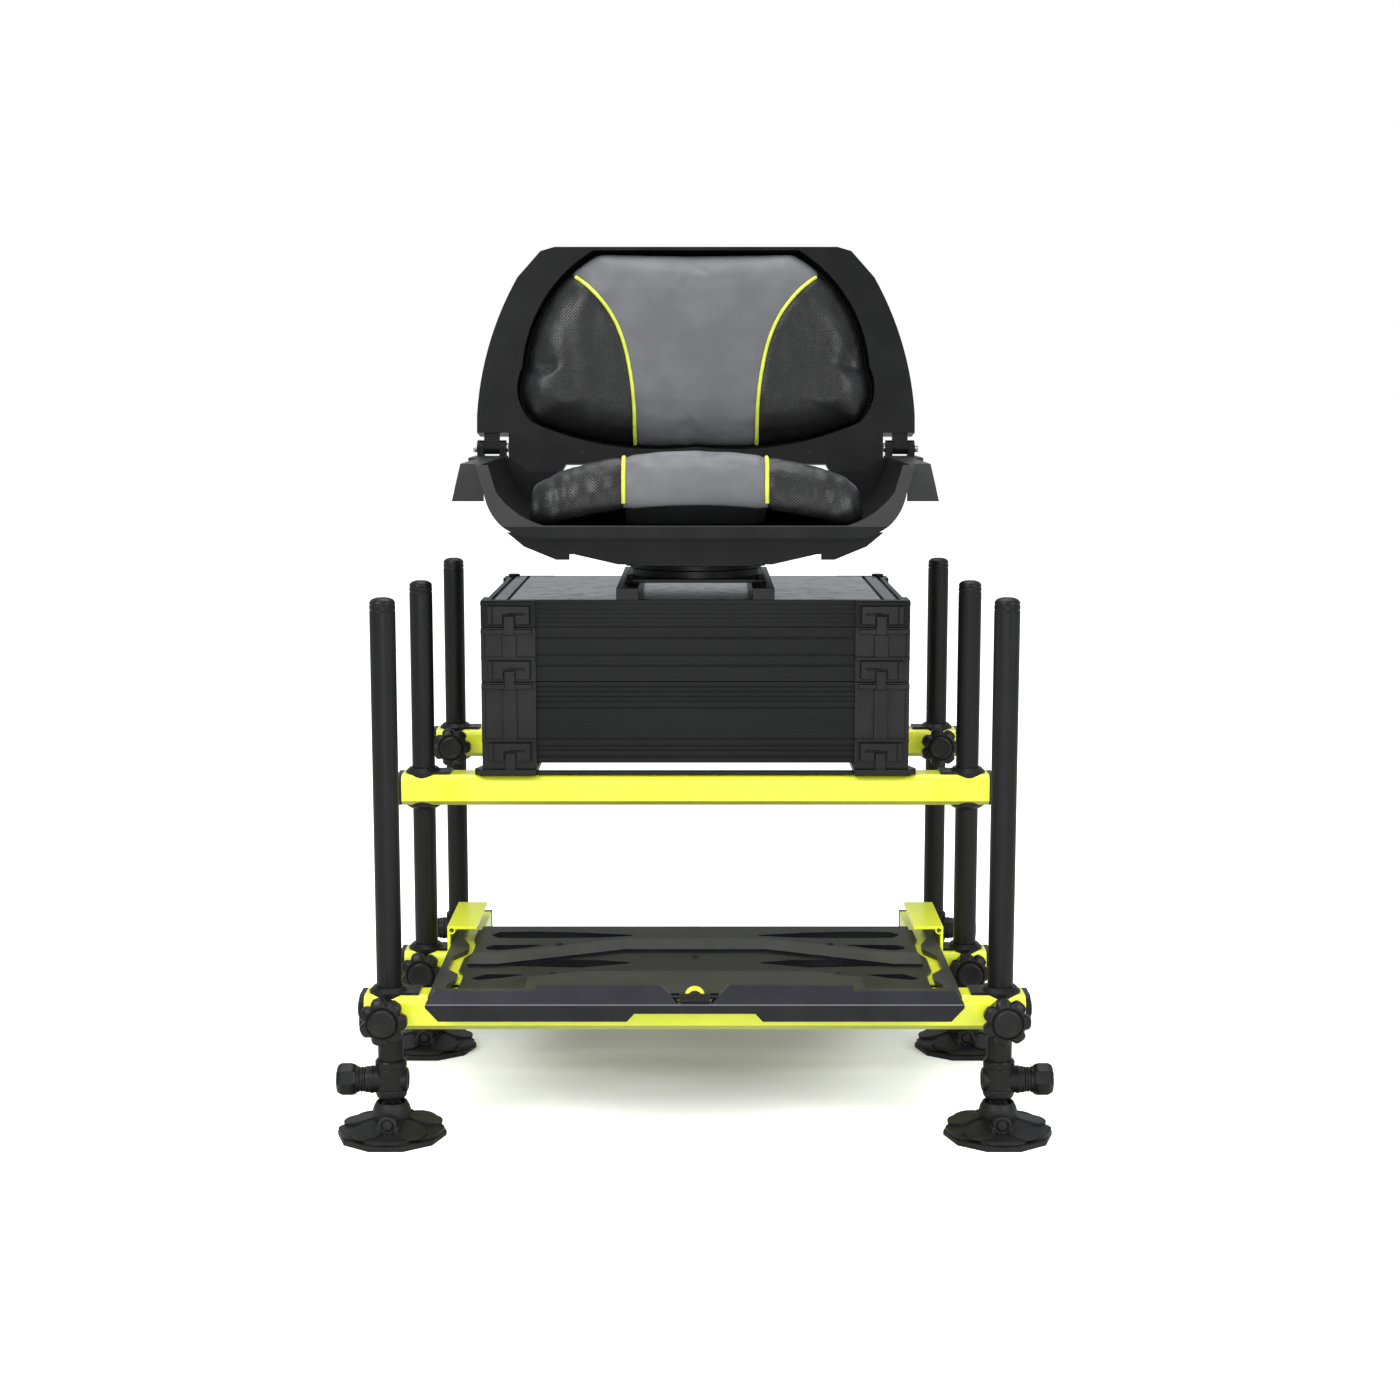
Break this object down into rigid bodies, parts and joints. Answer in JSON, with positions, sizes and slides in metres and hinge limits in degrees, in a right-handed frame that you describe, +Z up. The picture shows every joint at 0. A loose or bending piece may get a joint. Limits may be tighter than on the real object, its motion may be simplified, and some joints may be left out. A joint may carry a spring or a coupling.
{
  "type": "fishing seat box",
  "caption": "Tackle box on clamped telescopic legs, with a swivelling padded bucket seat, a side drawer and a pull-out footplate.",
  "frame": {"origin": "on the ground, below the centre of the object's box as seen from above", "axes": "+Z up, +Y to the rear of the seat, +X to the right as seen from the front"},
  "size_m": [0.7068, 0.747, 0.904],
  "materials": {
    "lime_enamel": "gloss lime enamel on aluminium extrusion",
    "black_tube": "satin black anodised tube",
    "black_plastic": "moulded glass-filled nylon, satin",
    "foot_plastic": "moulded nylon, matt",
    "black_anodised": "black anodised ribbed extrusion",
    "grey_panel": "dark grey gloss panel with light grey trims",
    "seat_plastic": "blow-moulded polyethylene, fine grain",
    "leather": "grey and black synthetic leather with lime piping",
    "steel": "plated steel"
  },
  "bodies": {
    "root": {"upper_front_beam": "lime_enamel", "upper_rear_beam": "lime_enamel", "lower_mid_beam": "lime_enamel", "beam_fittings": "black_plastic", "base_rails": "black_plastic", "deep_unit": "black_anodised", "deep_corners": "black_plastic", "footplate_channels": "lime_enamel"},
    "middle_stack": {"middle_unit": "black_anodised", "middle_corners": "black_plastic", "lid_hinges": "steel"},
    "drawer": {"drawer": "black_anodised"},
    "lid": {"lid_frame": "black_anodised", "lid_panel": "grey_panel", "swivel_base": "black_plastic"},
    "seat": {"seat_pan": "seat_plastic", "swivel_plate": "black_plastic", "hinge_pins": "steel", "seat_cushion": "leather"},
    "backrest": {"back_shell": "seat_plastic", "back_cushion": "leather"},
    "footplate": {"footplate_beam": "lime_enamel", "footplate_deck": "black_plastic", "footplate_fascia": "black_plastic", "slide_rails": "lime_enamel", "side_mouldings": "black_plastic", "footplate_fittings": "black_plastic"},
    "footplate_catch": {"footplate_catch": "black_plastic"},
    "leg_front_left": {"leg_front_left": "black_tube"},
    "inner_leg_front_left": {"inner_leg_front_left": "black_tube"},
    "tee_knob_front_left": {"tee_knob_front_left": "black_plastic"},
    "foot_front_left": {"foot_front_left": "foot_plastic"},
    "clamp_knob_front_left": {"clamp_knob_front_left": "black_plastic"},
    "leg_middle_left": {"leg_middle_left": "black_tube"},
    "foot_middle_left": {"foot_middle_left": "foot_plastic"},
    "clamp_knob_middle_left": {"clamp_knob_middle_left": "black_plastic"},
    "leg_rear_left": {"leg_rear_left": "black_tube"},
    "inner_leg_rear_left": {"inner_leg_rear_left": "black_tube"},
    "tee_knob_rear_left": {"tee_knob_rear_left": "black_plastic"},
    "foot_rear_left": {"foot_rear_left": "foot_plastic"},
    "clamp_knob_rear_left": {"clamp_knob_rear_left": "black_plastic"},
    "latch_lid_left": {"latch_lid_left": "black_plastic"},
    "latch_middle_left": {"latch_middle_left": "black_plastic"},
    "latch_deep_left": {"latch_deep_left": "black_plastic"},
    "leg_front_right": {"leg_front_right": "black_tube"},
    "inner_leg_front_right": {"inner_leg_front_right": "black_tube"},
    "tee_knob_front_right": {"tee_knob_front_right": "black_plastic"},
    "foot_front_right": {"foot_front_right": "foot_plastic"},
    "clamp_knob_front_right": {"clamp_knob_front_right": "black_plastic"},
    "leg_middle_right": {"leg_middle_right": "black_tube"},
    "foot_middle_right": {"foot_middle_right": "foot_plastic"},
    "clamp_knob_middle_right": {"clamp_knob_middle_right": "black_plastic"},
    "leg_rear_right": {"leg_rear_right": "black_tube"},
    "inner_leg_rear_right": {"inner_leg_rear_right": "black_tube"},
    "tee_knob_rear_right": {"tee_knob_rear_right": "black_plastic"},
    "foot_rear_right": {"foot_rear_right": "foot_plastic"},
    "clamp_knob_rear_right": {"clamp_knob_rear_right": "black_plastic"},
    "latch_lid_right": {"latch_lid_right": "black_plastic"},
    "latch_middle_right": {"latch_middle_right": "black_plastic"},
    "latch_deep_right": {"latch_deep_right": "black_plastic"}
  },
  "joints": [
    {"name": "middle_stack_lift", "type": "slide", "parent": "root", "child": "middle_stack", "axis": [0, 0, 1], "range_m": [0, 0.12]},
    {"name": "drawer_slide", "type": "slide", "parent": "middle_stack", "child": "drawer", "axis": [-1, 0, 0], "range_m": [0, 0.36]},
    {"name": "lid_hinge", "type": "hinge", "parent": "middle_stack", "child": "lid", "pos_m": [0, 0.2965, 0.477], "axis": [-1, 0, 0], "range_deg": [0, 75]},
    {"name": "seat_swivel", "type": "hinge", "parent": "lid", "child": "seat", "pos_m": [0, 0.1185, 0.527], "axis": [0, 0, 1], "continuous": true},
    {"name": "backrest_fold", "type": "hinge", "parent": "seat", "child": "backrest", "pos_m": [0, 0.2985, 0.662], "axis": [1, 0, 0], "range_deg": [0, 70]},
    {"name": "footplate_slide", "type": "slide", "parent": "root", "child": "footplate", "axis": [0, 1, 0], "range_m": [0, 0.15]},
    {"name": "footplate_catch_pull", "type": "hinge", "parent": "footplate", "child": "footplate_catch", "pos_m": [0, -0.366, 0.156], "axis": [1, 0, 0], "range_deg": [0, 14], "stiffness_Nm_per_rad": 0.3},
    {"name": "leg_front_left_slide", "type": "slide", "parent": "footplate", "child": "leg_front_left", "axis": [0, 0, 1], "range_m": [-0.36, 0.028]},
    {"name": "inner_leg_front_left_slide", "type": "slide", "parent": "leg_front_left", "child": "inner_leg_front_left", "axis": [0, 0, 1], "range_m": [-0.18, 0]},
    {"name": "tee_knob_front_left_turn", "type": "hinge", "parent": "leg_front_left", "child": "tee_knob_front_left", "pos_m": [-0.3, -0.3115, 0.0575], "axis": [-1, 0, 0], "range_deg": [0, 540]},
    {"name": "foot_front_left_tilt", "type": "hinge", "parent": "inner_leg_front_left", "child": "foot_front_left", "pos_m": [-0.3, -0.3115, 0.024], "axis": [1, 0, 0], "range_deg": [-15, 15]},
    {"name": "clamp_knob_front_left_turn", "type": "hinge", "parent": "footplate", "child": "clamp_knob_front_left", "pos_m": [-0.3, -0.3515, 0.13], "axis": [0, -1, 0], "range_deg": [0, 540]},
    {"name": "leg_middle_left_slide", "type": "slide", "parent": "root", "child": "leg_middle_left", "axis": [0, 0, 1], "range_m": [-0.18, 0.035]},
    {"name": "foot_middle_left_tilt", "type": "hinge", "parent": "leg_middle_left", "child": "foot_middle_left", "pos_m": [-0.3, -0.0115, 0.024], "axis": [1, 0, 0], "range_deg": [-15, 15]},
    {"name": "clamp_knob_middle_left_turn", "type": "hinge", "parent": "root", "child": "clamp_knob_middle_left", "pos_m": [-0.3, -0.0515, 0.0985], "axis": [0, -1, 0], "range_deg": [0, 540]},
    {"name": "leg_rear_left_slide", "type": "slide", "parent": "root", "child": "leg_rear_left", "axis": [0, 0, 1], "range_m": [-0.18, 0.08]},
    {"name": "inner_leg_rear_left_slide", "type": "slide", "parent": "leg_rear_left", "child": "inner_leg_rear_left", "axis": [0, 0, 1], "range_m": [-0.18, 0]},
    {"name": "tee_knob_rear_left_turn", "type": "hinge", "parent": "leg_rear_left", "child": "tee_knob_rear_left", "pos_m": [-0.3, 0.3195, 0.0575], "axis": [-1, 0, 0], "range_deg": [0, 540]},
    {"name": "foot_rear_left_tilt", "type": "hinge", "parent": "inner_leg_rear_left", "child": "foot_rear_left", "pos_m": [-0.3, 0.3195, 0.024], "axis": [1, 0, 0], "range_deg": [-15, 15]},
    {"name": "clamp_knob_rear_left_turn", "type": "hinge", "parent": "root", "child": "clamp_knob_rear_left", "pos_m": [-0.3, 0.2795, 0.297], "axis": [0, -1, 0], "range_deg": [0, 540]},
    {"name": "latch_lid_left_open", "type": "hinge", "parent": "lid", "child": "latch_lid_left", "pos_m": [-0.1815, -0.0364, 0.49], "axis": [0, 0, 1], "range_deg": [0, 110]},
    {"name": "latch_middle_left_open", "type": "hinge", "parent": "middle_stack", "child": "latch_middle_left", "pos_m": [-0.1815, -0.0364, 0.43], "axis": [0, 0, 1], "range_deg": [0, 110]},
    {"name": "latch_deep_left_open", "type": "hinge", "parent": "root", "child": "latch_deep_left", "pos_m": [-0.1815, -0.0364, 0.34], "axis": [0, 0, 1], "range_deg": [0, 110]},
    {"name": "leg_front_right_slide", "type": "slide", "parent": "footplate", "child": "leg_front_right", "axis": [0, 0, 1], "range_m": [-0.36, 0.028]},
    {"name": "inner_leg_front_right_slide", "type": "slide", "parent": "leg_front_right", "child": "inner_leg_front_right", "axis": [0, 0, 1], "range_m": [-0.18, 0]},
    {"name": "tee_knob_front_right_turn", "type": "hinge", "parent": "leg_front_right", "child": "tee_knob_front_right", "pos_m": [0.3, -0.3115, 0.0575], "axis": [1, 0, 0], "range_deg": [0, 540]},
    {"name": "foot_front_right_tilt", "type": "hinge", "parent": "inner_leg_front_right", "child": "foot_front_right", "pos_m": [0.3, -0.3115, 0.024], "axis": [1, 0, 0], "range_deg": [-15, 15]},
    {"name": "clamp_knob_front_right_turn", "type": "hinge", "parent": "footplate", "child": "clamp_knob_front_right", "pos_m": [0.3, -0.3515, 0.13], "axis": [0, -1, 0], "range_deg": [0, 540]},
    {"name": "leg_middle_right_slide", "type": "slide", "parent": "root", "child": "leg_middle_right", "axis": [0, 0, 1], "range_m": [-0.18, 0.035]},
    {"name": "foot_middle_right_tilt", "type": "hinge", "parent": "leg_middle_right", "child": "foot_middle_right", "pos_m": [0.3, -0.0115, 0.024], "axis": [1, 0, 0], "range_deg": [-15, 15]},
    {"name": "clamp_knob_middle_right_turn", "type": "hinge", "parent": "root", "child": "clamp_knob_middle_right", "pos_m": [0.3, -0.0515, 0.0985], "axis": [0, -1, 0], "range_deg": [0, 540]},
    {"name": "leg_rear_right_slide", "type": "slide", "parent": "root", "child": "leg_rear_right", "axis": [0, 0, 1], "range_m": [-0.18, 0.08]},
    {"name": "inner_leg_rear_right_slide", "type": "slide", "parent": "leg_rear_right", "child": "inner_leg_rear_right", "axis": [0, 0, 1], "range_m": [-0.18, 0]},
    {"name": "tee_knob_rear_right_turn", "type": "hinge", "parent": "leg_rear_right", "child": "tee_knob_rear_right", "pos_m": [0.3, 0.3195, 0.0575], "axis": [1, 0, 0], "range_deg": [0, 540]},
    {"name": "foot_rear_right_tilt", "type": "hinge", "parent": "inner_leg_rear_right", "child": "foot_rear_right", "pos_m": [0.3, 0.3195, 0.024], "axis": [1, 0, 0], "range_deg": [-15, 15]},
    {"name": "clamp_knob_rear_right_turn", "type": "hinge", "parent": "root", "child": "clamp_knob_rear_right", "pos_m": [0.3, 0.2795, 0.297], "axis": [0, -1, 0], "range_deg": [0, 540]},
    {"name": "latch_lid_right_open", "type": "hinge", "parent": "lid", "child": "latch_lid_right", "pos_m": [0.1815, -0.0364, 0.49], "axis": [0, 0, -1], "range_deg": [0, 110]},
    {"name": "latch_middle_right_open", "type": "hinge", "parent": "middle_stack", "child": "latch_middle_right", "pos_m": [0.1815, -0.0364, 0.43], "axis": [0, 0, -1], "range_deg": [0, 110]},
    {"name": "latch_deep_right_open", "type": "hinge", "parent": "root", "child": "latch_deep_right", "pos_m": [0.1815, -0.0364, 0.34], "axis": [0, 0, -1], "range_deg": [0, 110]}
  ]
}
